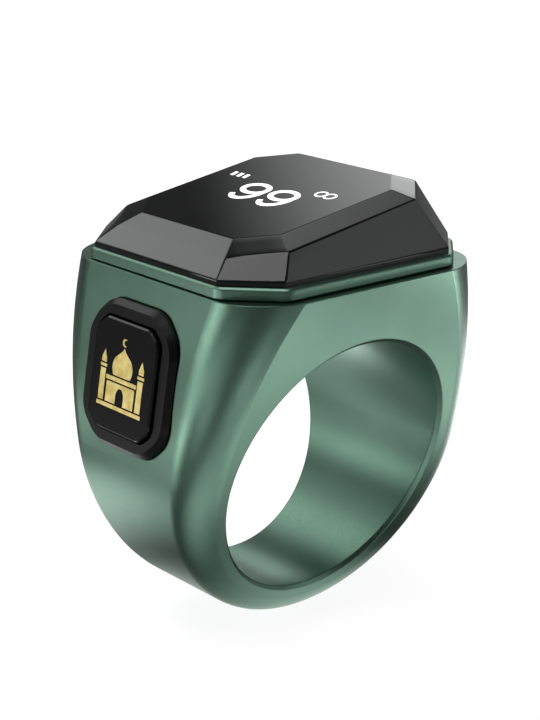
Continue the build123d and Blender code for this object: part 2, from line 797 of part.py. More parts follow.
with BuildPart() as switch_plunger:
    with BuildSketch(button_plane.offset(-plunger_end)):
        Circle(plunger_flange_radius)
    extrude(amount=plunger_end - plunger_flange_top)
    with BuildSketch(button_plane.offset(-plunger_flange_top)):
        Circle(plunger_radius)
    extrude(amount=plunger_flange_top - nub_end)
switch_plunger.part.label = "switch_plunger"
export_step(switch_plunger.part, "parts/switch_plunger.step")

with BuildPart() as switch_dome:
    with BuildSketch(button_plane.offset(-plunger_end - dome_height)):
        Circle(dome_radius)
    with BuildSketch(button_plane.offset(-plunger_end)):
        Circle(dome_crown_radius)
    loft()
switch_dome.part.label = "switch_dome"
export_step(switch_dome.part, "parts/switch_dome.step")

# Connector under the board that takes the switch flex
with BuildPart() as flex_connector:
    with BuildSketch(Plane.XY.offset(connector_foot)):
        with Locations((connector_centre_x, 0)):
            Rectangle(connector_x, connector_y)
    extrude(amount=connector_height)
    with BuildSketch(Plane.XY.offset(connector_foot)):
        with Locations((connector_centre_x, 0)):
            Rectangle(connector_slot_x, connector_slot_y)
    extrude(amount=connector_slot_height, mode=Mode.SUBTRACT)
flex_connector.part.label = "flex_connector"
export_step(flex_connector.part, "parts/flex_connector.step")
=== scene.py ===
import math

import bpy
from bpy.props import FloatProperty, FloatVectorProperty, PointerProperty, StringProperty
from mathutils import Matrix, Vector
from mathutils.geometry import interpolate_bezier


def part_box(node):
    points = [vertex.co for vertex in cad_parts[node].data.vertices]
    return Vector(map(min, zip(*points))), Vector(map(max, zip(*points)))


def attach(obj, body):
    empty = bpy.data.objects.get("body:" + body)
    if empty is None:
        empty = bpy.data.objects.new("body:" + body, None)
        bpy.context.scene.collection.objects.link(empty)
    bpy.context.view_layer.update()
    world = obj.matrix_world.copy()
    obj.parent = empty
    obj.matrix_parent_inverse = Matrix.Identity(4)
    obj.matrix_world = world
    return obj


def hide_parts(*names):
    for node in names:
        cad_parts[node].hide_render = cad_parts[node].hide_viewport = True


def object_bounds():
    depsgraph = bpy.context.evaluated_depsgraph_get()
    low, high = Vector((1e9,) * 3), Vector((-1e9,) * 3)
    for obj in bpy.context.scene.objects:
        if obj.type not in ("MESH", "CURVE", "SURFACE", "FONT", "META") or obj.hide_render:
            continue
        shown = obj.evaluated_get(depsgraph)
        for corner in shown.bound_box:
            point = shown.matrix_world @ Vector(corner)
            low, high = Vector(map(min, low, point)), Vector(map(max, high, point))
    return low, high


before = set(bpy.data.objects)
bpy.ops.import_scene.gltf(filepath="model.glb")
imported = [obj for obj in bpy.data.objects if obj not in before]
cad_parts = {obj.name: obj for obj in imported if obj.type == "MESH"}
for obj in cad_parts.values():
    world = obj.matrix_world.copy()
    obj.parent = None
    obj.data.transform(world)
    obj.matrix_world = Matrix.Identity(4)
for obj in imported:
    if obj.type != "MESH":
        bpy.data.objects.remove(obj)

bl_info = {
    "name": "Digital Tasbih Ring",
    "version": (1, 0, 0),
    "blender": (4, 5, 0),
    "location": "View3D > Sidebar > Tasbih Ring",
    "description": "Dresses the packed tasbih ring: finishes, lens, lit signs, gilt emblem and studio",
    "category": "Object",
}

CAD_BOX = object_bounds()
MM = 0.001
MERGE_DISTANCE = 1e-7

# Lens table: slope toward the button, the middle of its face and how far its top may miss the solid's
TABLE_SLOPE = 0.168
TABLE_TURN = math.atan(TABLE_SLOPE)
TABLE_ORIGIN = Vector((-0.639, 0.0, 19.176)) * MM
TABLE_TOLERANCE = 0.25 * MM
# Button flank: sine of its lean, and the middle of the button on it
FLANK_LEAN = 0.160598
FLANK_TURN = math.asin(FLANK_LEAN)
FLANK_ORIGIN = Vector((-13.151, 0.0, 7.67)) * MM

# Digit nine, in mm from its foot: a bowl with a hole, both a little squashed, and the bends of its tail
DIGIT_PITCH = 3.1
BOWL_MIDDLE = (1.42, 2.25)
BOWL_RADIUS = 1.36
BOWL_SQUASH = 0.79
HOLE_RADIUS = 0.9
HOLE_SQUASH = 0.72
TAIL_BENDS = ((2.5, 2.2), (2.95, 0.5), (1.1, -0.55), (0.5, 0.78))
TAIL_HALF_WIDTH = 0.22
# Charge bars, in mm from the foot of the first
BAR_PITCH = 0.685
BAR_CORNERS = ((0.0, 0.0), (0.34, 0.0), (0.19, 0.69), (-0.15, 0.69))
# Endless sign: two rings that overlap
LOOP_RADIUS = 0.53 * MM
LOOP_OFFSET = 0.465 * MM
LOOP_LINE = 0.15 * MM
# Emblem, in mm from its foot. Its plain storeys: half width, foot and top
STEP = (2.56, 0.0, 0.28)
HALL = (1.62, 0.4, 1.88)
CORNICE = (1.74, 2.0, 2.3)
TOWER = (0.3, 0.4, 2.66)
GALLERY = (0.38, 2.78, 2.98)
EAVES = (0.28, 3.1, 3.42)
# Its towers' distance from the middle, and the tip of their hoods
TOWER_MIDDLE = 2.16
HOOD_TIP = 4.04
# Its gate: half width, height where the arch starts and radius of the arch's two sides
GATE_HALF_WIDTH = 0.46
GATE_SPRING = 0.98
GATE_RADIUS = 0.76
# Its dome: foot of the right side, the swell over it, the drawn-in shoulder and the tip
DOME_FOOT = (0.8, 2.42)
DOME_MIDDLE = 3.04
DOME_RADIUS = 1.16
DOME_SQUASH = 0.92
DOME_SHOULDER = ((0.46, 4.04), (0.18, 4.26))
DOME_TIP = 4.5
# Its crescent: a disc less a smaller one to the right
MOON_MIDDLE = 4.89
MOON_RADIUS = 0.29
MOON_CUT_OFFSET = 0.11
MOON_CUT_RADIUS = 0.21
STAMPED_EDGE = 0.012 * MM

# Part of the noise's range that holds most of a grain
GRAIN_SPAN = (0.3, 0.7)
GRAIN_ROUGHNESS = 0.55
# How far roughness strays from its mean, and how much broader than the grain a plastic's clouds are
PLASTIC_STRAY = 0.06
METAL_STRAY = 0.07
CLOUD_RATIO = 12
# Display: pitch of its pixels, and their brightness at the middle and at the edge
PIXEL_PITCH = 0.12 * MM
PIXEL_MIDDLE = 1.04
PIXEL_EDGE = 0.94

# Floor: gap under the ring, thickness and size of its paper fibre
FLOOR_GAP = 0.02 * MM
FLOOR_THICKNESS = 4.0 * MM
FLOOR_FIBRE = 1.5 * MM
# Pools of light painted on the floor as a glow that only reflections see: distance of their middle from
# the point under the bore's middle, azimuth in degrees, radius at full strength and radius where they
# have faded, lengths in mm, and strength
LIGHT_POOLS = (
    (0.0, 0.0, 2.0, 14.0, 1.4),
    (26.0, 45.0, 2.0, 16.0, 5.6),
    (26.0, 90.0, 2.0, 16.0, 1.0),
    (26.0, 135.0, 2.0, 16.0, 1.9),
    (26.0, 225.0, 2.0, 16.0, 1.3),
    (26.0, 270.0, 2.0, 16.0, 1.9),
    (35.0, -65.0, 1.0, 14.0, 2.8),
    (35.0, -35.0, 1.0, 14.0, 2.4),
    (50.0, -110.0, 2.0, 20.0, 1.7),
    (50.0, 15.0, 4.0, 34.0, 2.9),
    (72.0, 130.0, 3.0, 26.0, 2.3),
    (72.0, 160.0, 3.0, 26.0, 7.7),
    (72.0, 205.0, 3.0, 26.0, 2.0),
    (72.0, -35.0, 3.0, 26.0, 10.8),
    (250.0, 180.0, 40.0, 170.0, 3.8),
    (250.0, -60.0, 40.0, 170.0, 1.5),
)
# Soft screens round the ring: azimuth and elevation of their middle, half angle at full strength
# and half angle where they have faded, all in degrees, and strength
SCREENS = (
    (0.0, 12.0, 3.0, 27.0, 0.5),
    (37.5, 24.0, 0.0, 18.0, 2.25),
    (48.0, 57.0, 2.0, 18.0, 1.5),
    (92.0, 39.0, 9.0, 20.0, 1.75),
    (112.0, 38.0, 3.0, 27.0, 0.85),
    (145.0, 8.0, 2.0, 14.0, 3.7),
    (158.0, 38.0, 3.0, 27.0, 0.5),
    (160.0, 8.0, 2.0, 14.0, 3.1),
    (-48.0, 22.0, 6.0, 24.0, 1.0),
)


def face_frame(origin, up, out):
    """Matrix that lays a flat piece, drawn in X and Y, on a tilted face."""
    right = up.cross(out)
    return Matrix.Translation(origin) @ Matrix((right, up, out)).transposed().to_4x4()


TABLE_FRAME = face_frame(
    TABLE_ORIGIN,
    Vector((math.cos(TABLE_TURN), 0.0, math.sin(TABLE_TURN))),
    Vector((-math.sin(TABLE_TURN), 0.0, math.cos(TABLE_TURN))),
)
FLANK_FRAME = face_frame(
    FLANK_ORIGIN,
    Vector((math.sin(FLANK_TURN), 0.0, math.cos(FLANK_TURN))),
    Vector((-math.cos(FLANK_TURN), 0.0, math.sin(FLANK_TURN))),
)


def linear(code):
    """An sRGB hex colour as linear RGBA."""
    channels = []
    for place in (1, 3, 5):
        value = int(code[place : place + 2], 16) / 255
        channels.append(value / 12.92 if value <= 0.04045 else ((value + 0.055) / 1.055) ** 2.4)
    return (*channels, 1.0)


def add_node(tree, kind, settings=None, values=None, links=None):
    """Adds one node: its settings, its socket values and the sockets that feed it."""
    new = tree.nodes.new(kind)
    for key, value in (settings or {}).items():
        setattr(new, key, value)
    for key, value in (values or {}).items():
        new.inputs[key].default_value = value
    for key, source in (links or {}).items():
        tree.links.new(source, new.inputs[key])
    return new


def start_material(name):
    """A new material, its emptied node tree and the place on the object that patterns follow."""
    material = bpy.data.materials.new(name)
    material.use_nodes = True
    tree = material.node_tree
    tree.nodes.clear()
    return material, tree, add_node(tree, "ShaderNodeTexCoord").outputs["Object"]


def grained_finish(name, tones, rough, grain, values, cloud=None, relief_mm=0.0, stretch=None, ease=0.0):
    """A finish whose tone, roughness and relief follow one grain.

    tones: darker and lighter colour. rough: least and greatest roughness. grain: size in mm and
    detail of its spots. values: plain sockets of the surface. cloud: as grain, broader spots that
    the tone follows instead. relief_mm: depth of the grain. stretch: scale of the pattern along
    each axis. ease: radius of the rounding seen on edges.
    """
    material, tree, place = start_material(name)
    if stretch:
        drawn = add_node(tree, "ShaderNodeMapping", values={"Scale": stretch}, links={"Vector": place})
        place = drawn.outputs["Vector"]
    spots = []
    for size_mm, detail in (grain, cloud) if cloud else (grain,):
        noise = add_node(
            tree,
            "ShaderNodeTexNoise",
            values={"Scale": 1.0 / (size_mm * MM), "Detail": detail, "Roughness": GRAIN_ROUGHNESS},
            links={"Vector": place},
        )
        spots.append(noise.outputs["Fac"])
    colour = add_node(tree, "ShaderNodeValToRGB", links={"Fac": spots[-1]})
    for stop, position, tone in zip(colour.color_ramp.elements, GRAIN_SPAN, tones):
        stop.position = position
        stop.color = linear(tone)
    span = {"From Min": GRAIN_SPAN[0], "From Max": GRAIN_SPAN[1]}
    shine = add_node(
        tree,
        "ShaderNodeMapRange",
        values={**span, "To Min": rough[0], "To Max": rough[1]},
        links={"Value": spots[0]},
    )
    links = {"Base Color": colour.outputs["Color"], "Roughness": shine.outputs["Result"]}
    if relief_mm:
        feeds = {"Height": spots[0]}
        if ease:
            feeds["Normal"] = add_node(
                tree, "ShaderNodeBevel", {"samples": 6}, {"Radius": ease}
            ).outputs["Normal"]
        relief = add_node(
            tree, "ShaderNodeBump", values={"Strength": 1.0, "Distance": relief_mm * MM}, links=feeds
        )
        links["Normal"] = relief.outputs["Normal"]
    surface = add_node(tree, "ShaderNodeBsdfPrincipled", values=values, links=links)
    add_node(tree, "ShaderNodeOutputMaterial", links={"Surface": surface.outputs["BSDF"]})
    return material


def green_anodised_aluminium():
    """Bead-blasted and anodised aluminium."""
    # A satin skin: soft broad reflections, a fine blasted grain and edges eased by the tumbling
    look = bpy.context.scene.tasbih_finish
    return grained_finish(
        "green_anodised_aluminium",
        tones=(look.metal_dark, look.metal_light),
        rough=(0.3, 0.38),
        # The blasted grain is about 0.05 mm, drawn at 0.16 mm so that it shows
        grain=(0.16, 4.0),
        values={"Metallic": 1.0},
        cloud=(6.0, 2.0),
        relief_mm=0.0012,
        ease=look.edge_ease,
    )


def smoked_acrylic():
    """Polished, smoke-tinted acrylic, nearly black from outside."""
    # A deep gloss: the facets mirror the studio, a faint haze softens what they show
    look = bpy.context.scene.tasbih_finish
    return grained_finish(
        "smoked_acrylic",
        tones=(look.lens_dark, look.lens_light),
        rough=(0.05, 0.09),
        grain=(3.0, 3.0),
        values={"IOR": 1.5},
    )


def gilt_foil():
    """Hot-stamped gold foil."""
    # Pale gold with a mottled, slightly crumpled shine
    look = bpy.context.scene.tasbih_finish
    return grained_finish(
        "gilt_foil",
        tones=(look.gilt_dark, look.gilt_light),
        rough=(0.34, 0.48),
        grain=(0.7, 4.0),
        values={"Metallic": 0.75},
        relief_mm=0.004,
    )


def moulded_plastic(name, tones, rough, spark_mm, relief_mm, ior=1.5, gloss=0.5):
    """Moulded plastic: a spark-eroded skin, with its tone in broader clouds."""
    return grained_finish(
        name,
        tones=tones,
        rough=(rough - PLASTIC_STRAY, rough + PLASTIC_STRAY),
        grain=(spark_mm, 4.0),
        values={"IOR": ior, "Specular IOR Level": gloss},
        cloud=(CLOUD_RATIO * spark_mm, 3.0),
        relief_mm=relief_mm,
    )


def worked_metal(name, tones, rough, mark_mm, relief_mm, stretch=None):
    """Bare or plated metal with rolling or turning marks."""
    return grained_finish(
        name,
        tones=tones,
        rough=(rough - METAL_STRAY, rough + METAL_STRAY),
        grain=(mark_mm, 4.0),
        values={"Metallic": 1.0},
        relief_mm=relief_mm,
        stretch=stretch,
    )


def lit_pixels(name, colour, strength):
    """Light from the display, seen through the lens."""
    # An even white glow with the faint unevenness of single pixels
    material, tree, place = start_material(name)
    cells = add_node(
        tree, "ShaderNodeTexVoronoi", values={"Scale": 1.0 / PIXEL_PITCH}, links={"Vector": place}
    )
    span = {"From Min": GRAIN_SPAN[0], "From Max": GRAIN_SPAN[1]}
    glow = add_node(
        tree,
        "ShaderNodeMapRange",
        values={**span, "To Min": strength * PIXEL_MIDDLE, "To Max": strength * PIXEL_EDGE},
        links={"Value": cells.outputs["Distance"]},
    )
    surface = add_node(
        tree,
        "ShaderNodeBsdfPrincipled",
        values={"Base Color": linear(colour), "Roughness": 0.4, "Emission Color": linear(colour)},
        links={"Emission Strength": glow.outputs["Result"]},
    )
    add_node(tree, "ShaderNodeOutputMaterial", links={"Surface": surface.outputs["BSDF"]})
    return material


def pale_sweep():
    """Matt white studio floor, with pools of light painted on it as glow."""
    # Nearly shadowless white, as under a large diffuser
    material, tree, place = start_material("pale_sweep")
    look = bpy.context.scene.tasbih_studio
    fibre = add_node(
        tree,
        "ShaderNodeTexNoise",
        values={"Scale": 1.0 / FLOOR_FIBRE, "Detail": 2.0, "Roughness": GRAIN_ROUGHNESS},
        links={"Vector": place},
    )
    colour = add_node(tree, "ShaderNodeValToRGB", links={"Fac": fibre.outputs["Fac"]})
    for stop, position, tone in zip(colour.color_ramp.elements, GRAIN_SPAN, ("#8a8a8a", "#8e8e8e")):
        stop.position = position
        stop.color = linear(tone)
    # What the metal mirrors of it: soft pools of painted light, a glow seen by every ray but the
    # camera's, added up, and dim floor between them
    lit = {}
    for distance, azimuth, full, faded, strength in LIGHT_POOLS:
        turn = math.radians(azimuth)
        middle = (distance * MM * math.cos(turn), distance * MM * math.sin(turn), CAD_BOX[0][2])
        away = add_node(tree, "ShaderNodeVectorMath", {"operation": "DISTANCE"}, {1: middle}, {0: place})
        edges = {"From Min": full * MM, "From Max": faded * MM}
        pool = add_node(
            tree,
            "ShaderNodeMapRange",
            {"interpolation_type": "SMOOTHSTEP"},
            {**edges, "To Min": strength * look.pool_glow, "To Max": 0.0},
            {"Value": away.outputs["Value"]},
        )
        feeds = {**lit, 1: pool.outputs["Result"]}
        total = add_node(tree, "ShaderNodeMath", {"operation": "ADD"}, {0: 0.0}, feeds)
        lit = {0: total.outputs["Value"]}
    # The camera sees only the even white glow; all other rays see the painted pools of light
    sight = add_node(tree, "ShaderNodeLightPath").outputs["Is Camera Ray"]
    glow = add_node(
        tree,
        "ShaderNodeMix",
        {"data_type": "FLOAT"},
        {"B": look.floor_glow},
        {"Factor": sight, "A": lit[0]},
    )
    surface = add_node(
        tree,
        "ShaderNodeBsdfPrincipled",
        values={"Roughness": 0.9, "Emission Color": linear("#ffffff")},
        links={"Base Color": colour.outputs["Color"], "Emission Strength": glow.outputs["Result"]},
    )
    add_node(tree, "ShaderNodeOutputMaterial", links={"Surface": surface.outputs["BSDF"]})
    return material


def deselect_all():
    """Leaves object mode with nothing selected."""
    if bpy.context.object is not None and bpy.context.object.mode != "OBJECT":
        bpy.ops.object.mode_set(mode="OBJECT")
    bpy.ops.object.select_all(action="DESELECT")


def pick(piece):
    """Makes one object the only selected one."""
    deselect_all()
    piece.select_set(True)
    bpy.context.view_layer.objects.active = piece


def select_where(piece, test, kind="VERT"):
    """Selects the vertices or edges of a piece in edit mode by their place."""
    bpy.ops.mesh.select_mode(type=kind)
    bpy.ops.mesh.select_all(action="DESELECT")
    bpy.ops.object.mode_set(mode="OBJECT")
    points = piece.data.vertices
    if kind == "VERT":
        chosen = [(item, item.co) for item in points]
    else:
        ends = [(item, *item.vertices) for item in piece.data.edges]
        chosen = [(item, (points[first].co + points[last].co) / 2) for item, first, last in ends]
    for item, middle in chosen:
        item.select = test(item, middle)
    bpy.ops.object.mode_set(mode="EDIT")


def apply_modifier(piece, kind, name, **settings):
    """Adds one modifier and applies it."""
    pick(piece)
    modifier = piece.modifiers.new(name, kind)
    for key, value in settings.items():
        setattr(modifier, key, value)
    bpy.ops.object.modifier_apply(modifier=name)


def clean_mesh(piece):
    """Merges doubles and turns all faces outwards."""
    pick(piece)
    bpy.ops.object.mode_set(mode="EDIT")
    bpy.ops.mesh.select_all(action="SELECT")
    bpy.ops.mesh.remove_doubles(threshold=MERGE_DISTANCE)
    bpy.ops.mesh.normals_make_consistent(inside=False)
    bpy.ops.object.mode_set(mode="OBJECT")


def settle(piece, matrix):
    """Puts a flat piece in its place, with the place in its mesh."""
    pick(piece)
    piece.matrix_world = matrix @ piece.matrix_world
    bpy.ops.object.transform_apply(location=True, rotation=True, scale=True)


def unite(piece, other):
    """Fuses another piece into a piece, so that no faces are left inside."""
    apply_modifier(piece, "BOOLEAN", "union", operation="UNION", object=other, solver="EXACT")
    bpy.data.objects.remove(other)
    return piece


def join_pieces(name, pieces):
    """Joins pieces of one kind to one object."""
    deselect_all()
    for piece in pieces:
        piece.select_set(True)
    bpy.context.view_layer.objects.active = pieces[0]
    bpy.ops.object.join()
    joined = bpy.context.object
    joined.name = name
    return joined


def dress(piece, material, body):
    """Gives a new piece its material, body and slot."""
    piece.data.materials.clear()
    piece.data.materials.append(material)
    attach(piece, body)


def coat(material, *names):
    """Gives carried-over nodes their material."""
    for name in names:
        node_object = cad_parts[name]
        if not node_object.material_slots:
            node_object.data.materials.append(material)
        for slot in node_object.material_slots:
            slot.material = material


def flat_shape(name, outlines, depth):
    """A flat curve of closed outlines in millimetres, made a mesh of the given depth."""
    curve = bpy.data.curves.new(name, "CURVE")
    curve.dimensions = "2D"
    curve.fill_mode = "BOTH"
    curve.extrude = depth / 2
    for outline in outlines:
        spline = curve.splines.new("POLY")
        spline.points.add(len(outline) - 1)
        for point, (x, y) in zip(spline.points, outline):
            point.co = (x * MM, y * MM, 0.0, 1.0)
        spline.use_cyclic_u = True
    piece = bpy.data.objects.new(name, curve)
    bpy.context.collection.objects.link(piece)
    pick(piece)
    bpy.ops.object.convert(target="MESH")
    piece = bpy.context.object
    clean_mesh(piece)
    return piece


def arc(x, y, radius, start, end, steps, squash=1.0):
    """Points along an arc in degrees."""
    turn = (end - start) / steps
    angles = [math.radians(start + turn * step) for step in range(steps + 1)]
    return [(x + radius * math.cos(a), y + radius * squash * math.sin(a)) for a in angles]


def stroke(path, half):
    """Closed outline of a pen stroke along a path, with blunt ends."""
    sides = ([], [])
    for index, point in enumerate(path):
        along = (path[min(index + 1, len(path) - 1)] - path[max(index - 1, 0)]).normalized()
        across = Vector((-along.y, along.x)) * half
        sides[0].append(tuple((point + across)[:2]))
        sides[1].append(tuple((point - across)[:2]))
    return sides[0] + sides[1][::-1]


def box_outline(half_width, foot, top, middle=0.0):
    """Corner points of an upright box round a middle line."""
    left, right = middle - half_width, middle + half_width
    return [(left, foot), (right, foot), (right, top), (left, top)]


class TasbihFinish(bpy.types.PropertyGroup):
    """Colours of the visible finishes."""

    metal_dark: StringProperty(
        name="Metal, dark", description="Darker tone of the green metal", default="#607e6f"
    )
    metal_light: StringProperty(
        name="Metal, light", description="Lighter tone of the green metal", default="#658374"
    )
    lens_dark: StringProperty(
        name="Lens, dark", description="Darker tone of the smoked lens", default="#0f0f11"
    )
    lens_light: StringProperty(
        name="Lens, light", description="Lighter tone of the smoked lens", default="#141416"
    )
    gilt_dark: StringProperty(
        name="Gilt, dark", description="Darker tone of the gold foil", default="#d3b765"
    )
    gilt_light: StringProperty(
        name="Gilt, light", description="Lighter tone of the gold foil", default="#f0e09a"
    )
    edge_ease: FloatProperty(
        name="Edge ease", description="Rounding seen on the metal's edges", default=0.00014, unit="LENGTH"
    )


class TasbihLens(bpy.types.PropertyGroup):
    """Sizes of the faceted lens."""

    girdle: FloatVectorProperty(
        name="Girdle",
        description="Width, depth and corner cut of the upright band",
        default=(0.02205, 0.020488, 0.003281),
        unit="LENGTH",
    )
    girdle_height: FloatProperty(
        name="Girdle height", description="Height of the upright band", default=0.000406, unit="LENGTH"
    )
    crown: FloatVectorProperty(
        name="Crown",
        description="Width, depth and corner cut where the facets meet",
        default=(0.01815, 0.018286, 0.003046),
        unit="LENGTH",
    )
    crown_drop: FloatProperty(
        name="Crown drop", description="Crown below the table", default=0.000665, unit="LENGTH"
    )
    table: FloatVectorProperty(
        name="Table",
        description="Width, depth and corner cut of the flat top",
        default=(0.01517, 0.01503, 0.002354),
        unit="LENGTH",
    )
    foot: FloatProperty(
        name="Foot", description="Height of the girdle's foot", default=0.015451, unit="LENGTH"
    )
    edge: FloatProperty(
        name="Edge", description="Rounding of the facet edges", default=0.00011, unit="LENGTH"
    )
    spigot: FloatVectorProperty(
        name="Spigot",
        description="Width, depth and height",
        default=(0.0178, 0.0166, 0.0006),
        unit="LENGTH",
    )
    spigot_corner: FloatProperty(
        name="Spigot corner", description="Corner radius of the spigot", default=0.0029, unit="LENGTH"
    )
    pocket: FloatVectorProperty(
        name="Pocket",
        description="Width, depth and cover",
        default=(0.0132, 0.0157, 0.0016),
        unit="LENGTH",
    )
    pocket_corner: FloatProperty(
        name="Pocket corner", description="Corner radius of the pocket", default=0.0006, unit="LENGTH"
    )
    pocket_reach: FloatProperty(
        name="Pocket reach", description="Length of the pocket's cut", default=0.006, unit="LENGTH"
    )


class TasbihSigns(bpy.types.PropertyGroup):
    """Sizes and places of the lit signs and the emblem."""

    count_place: FloatVectorProperty(
        name="Count place",
        description="Foot of the first digit on the table",
        size=2,
        default=(-0.00298, -0.00201),
        unit="LENGTH",
    )
    bar_place: FloatVectorProperty(
        name="Bar place",
        description="Foot of the first charge bar",
        size=2,
        default=(-0.00597, 0.00142),
        unit="LENGTH",
    )
    loop_place: FloatVectorProperty(
        name="Loop place",
        description="Middle of the endless sign",
        size=2,
        default=(0.00421, 0.00188),
        unit="LENGTH",
    )
    depth: FloatProperty(
        name="Sign depth", description="Thickness of the signs", default=0.00004, unit="LENGTH"
    )
    emblem_foot: FloatProperty(
        name="Emblem foot",
        description="Foot of the emblem from the cap's middle",
        default=-0.00236,
        unit="LENGTH",
    )
    cap_proud: FloatProperty(
        name="Cap height", description="Cap's face over the flank", default=0.00075, unit="LENGTH"
    )


class TasbihStudio(bpy.types.PropertyGroup):
    """Light, floor and camera."""

    floor_size: FloatProperty(name="Floor", description="Radius of the floor", default=1.2, unit="LENGTH")
    floor_glow: FloatProperty(
        name="Floor glow", description="Whiteness of the floor", default=0.9, subtype="FACTOR"
    )
    # Strength of the pools of light painted on the floor as glow, seen only in reflections
    pool_glow: FloatProperty(
        name="Floor bounce",
        description="Strength of the light pools on the floor",
        default=1.0,
        subtype="FACTOR",
    )
    room: FloatProperty(
        name="Room", description="Light between the soft screens", default=0.07, subtype="FACTOR"
    )
    focal_length: FloatProperty(
        name="Focal length", description="Focal length in millimetres", default=89.74, unit="CAMERA"
    )
    azimuth: FloatProperty(
        name="Azimuth", description="Camera turn", default=math.radians(-40.721), subtype="ANGLE"
    )
    elevation: FloatProperty(
        name="Elevation", description="Camera height", default=math.radians(17.529), subtype="ANGLE"
    )
    roll: FloatProperty(
        name="Roll", description="Camera roll", default=math.radians(0.575), subtype="ANGLE"
    )
    distance: FloatProperty(
        name="Distance", description="Camera distance", default=0.135987, unit="LENGTH"
    )
    aim: FloatVectorProperty(
        name="Aim",
        description="Sideways and upward aim",
        size=2,
        default=(-0.00013, 0.006106),
        unit="LENGTH",
    )


class TASBIH_OT_metal(bpy.types.Operator):
    """Give the ring and the plinth their green metal"""

    bl_idname = "tasbih.metal"
    bl_label = "Green Metal"

    def execute(self, context):
        coat(green_anodised_aluminium(), "ring_body", "bezel_frame")
        return {"FINISHED"}


